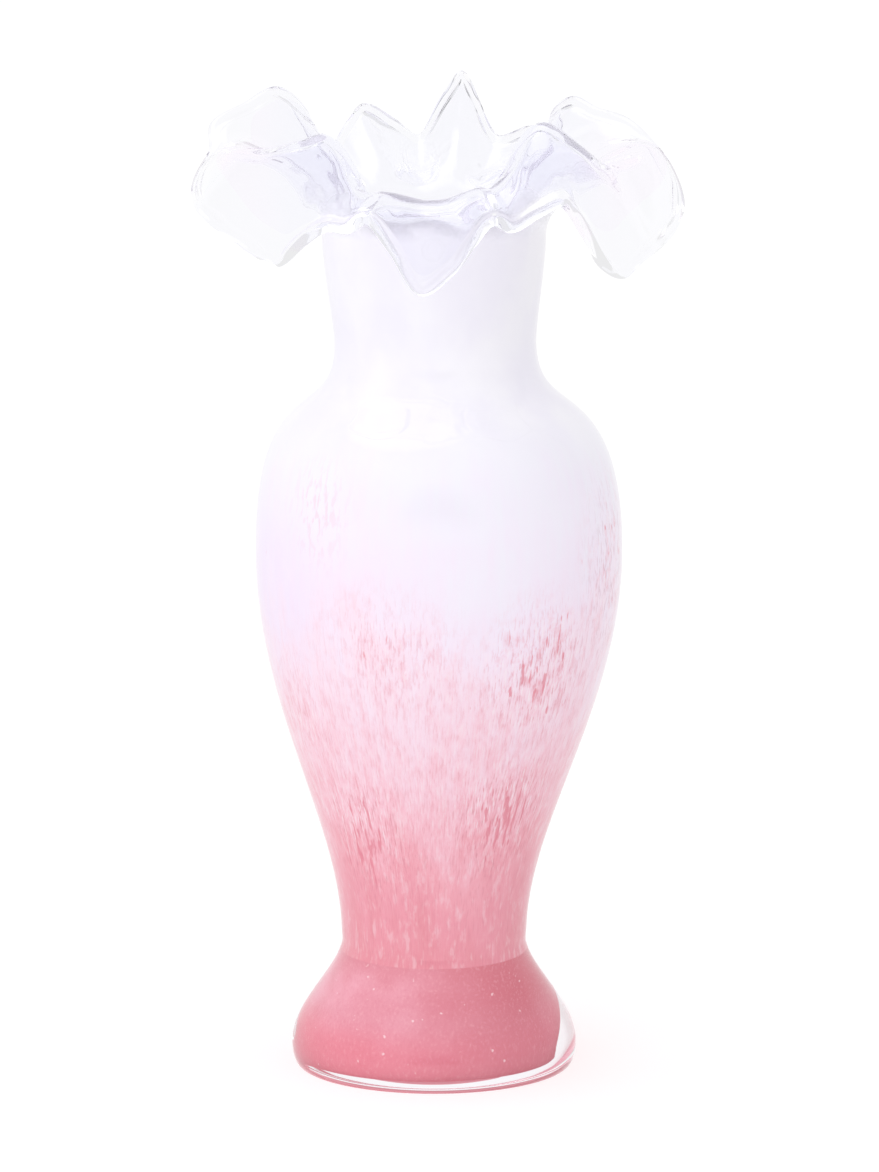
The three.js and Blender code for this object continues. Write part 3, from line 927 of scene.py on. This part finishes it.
def make_floor():
    mesh = bpy.data.meshes.new("floor")
    half = FLOOR_SIZE / 2
    corners = [(-half, -half), (half, -half), (half, half), (-half, half)]
    mesh.from_pydata([(x, y, -FLOOR_DROP) for x, y in corners], [], [(0, 1, 2, 3)])
    floor = bpy.data.objects.new("floor", mesh)
    bpy.context.scene.collection.objects.link(floor)
    material = bpy.data.materials.new("floor_paint")
    graph = Graph(material)
    paint = graph.add("BsdfDiffuse", {"Color": [FLOOR_ALBEDO] * 3 + [1]}).outputs[0]
    path = graph.add("LightPath").outputs
    glow = graph.add("Emission", {"Strength": graph.math("MULTIPLY", path["Is Camera Ray"], FLOOR_GLOW)}).outputs[0]
    lit = graph.add("AddShader", {0: paint, 1: glow}).outputs[0]
    white = graph.add("Emission", {"Strength": 1.0}).outputs[0]
    bent = graph.most([path["Is Glossy Ray"], path["Is Transmission Ray"]])
    graph.surface(graph.add("MixShader", {0: bent, 1: lit, 2: white}).outputs[0])
    mesh.materials.append(material)


def make_world():
    world = bpy.data.worlds.new("studio")
    bpy.context.scene.world = world
    graph = Graph(world)
    path = graph.add("LightPath").outputs
    way = graph.add("TexCoord").outputs["Generated"]
    axes = graph.add("SeparateXYZ", {0: way}).outputs
    even = graph.step(axes["X"], -1.0, 1.0, *AMBIENT)
    around = graph.step(axes["Y"], *FRONT_EDGE, FRONT_LEVEL, 1.0)
    around = graph.math("MULTIPLY", around, graph.step(axes["Y"], *CAMERA_SIDE_EDGE, CAMERA_SIDE_LEVEL, 1.0))
    around = graph.blend(graph.step(axes["Z"], *SWEEP_EDGE), 1.0, around)
    up = graph.add("VectorMath", {0: way, 1: CEILING_TILT}, operation="DOT_PRODUCT").outputs["Value"]
    overhead = graph.step(up, *CEILING_EDGE, 0.0, CEILING_LEVEL)
    mirrored = graph.most([around, overhead])
    bent = graph.most([path["Is Glossy Ray"], path["Is Transmission Ray"]])
    level = graph.blend(bent, even, mirrored)
    level = graph.blend(path["Is Camera Ray"], level, 1.0)
    background = graph.add("Background", {"Color": (1, 1, 1, 1), "Strength": level}).outputs[0]
    graph.add("OutputWorld", {"Surface": background})


def make_lamp(name, place, size, radiance):
    """A soft box facing the vase, with its radiance as seen from the front."""
    data = bpy.data.lights.new(name, "AREA")
    data.shape = "RECTANGLE"
    data.size, data.size_y = size
    data.energy = radiance * math.pi * size[0] * size[1]
    lamp = bpy.data.objects.new(name, data)
    lamp.location = place
    lamp.visible_glossy = False
    lamp.visible_transmission = False
    lamp.rotation_euler = (CAMERA_AIM - place).to_track_quat("-Z", "Y").to_euler()
    bpy.context.scene.collection.objects.link(lamp)


def make_camera():
    data = bpy.data.cameras.new("camera")
    data.lens = CAMERA_LENS
    data.sensor_width = SENSOR
    camera = bpy.data.objects.new("camera", data)
    camera.location = CAMERA_PLACE
    camera.rotation_euler = (CAMERA_AIM - CAMERA_PLACE).to_track_quat("-Z", "Y").to_euler()
    bpy.context.scene.collection.objects.link(camera)
    bpy.context.scene.camera = camera


bpy.context.scene.view_settings.view_transform = "Standard"
make_vase()
make_floor()
make_world()
make_lamp("key", KEY_PLACE, KEY_SIZE, KEY_RADIANCE)
make_lamp("fill", FILL_PLACE, FILL_SIZE, FILL_RADIANCE)
make_camera()
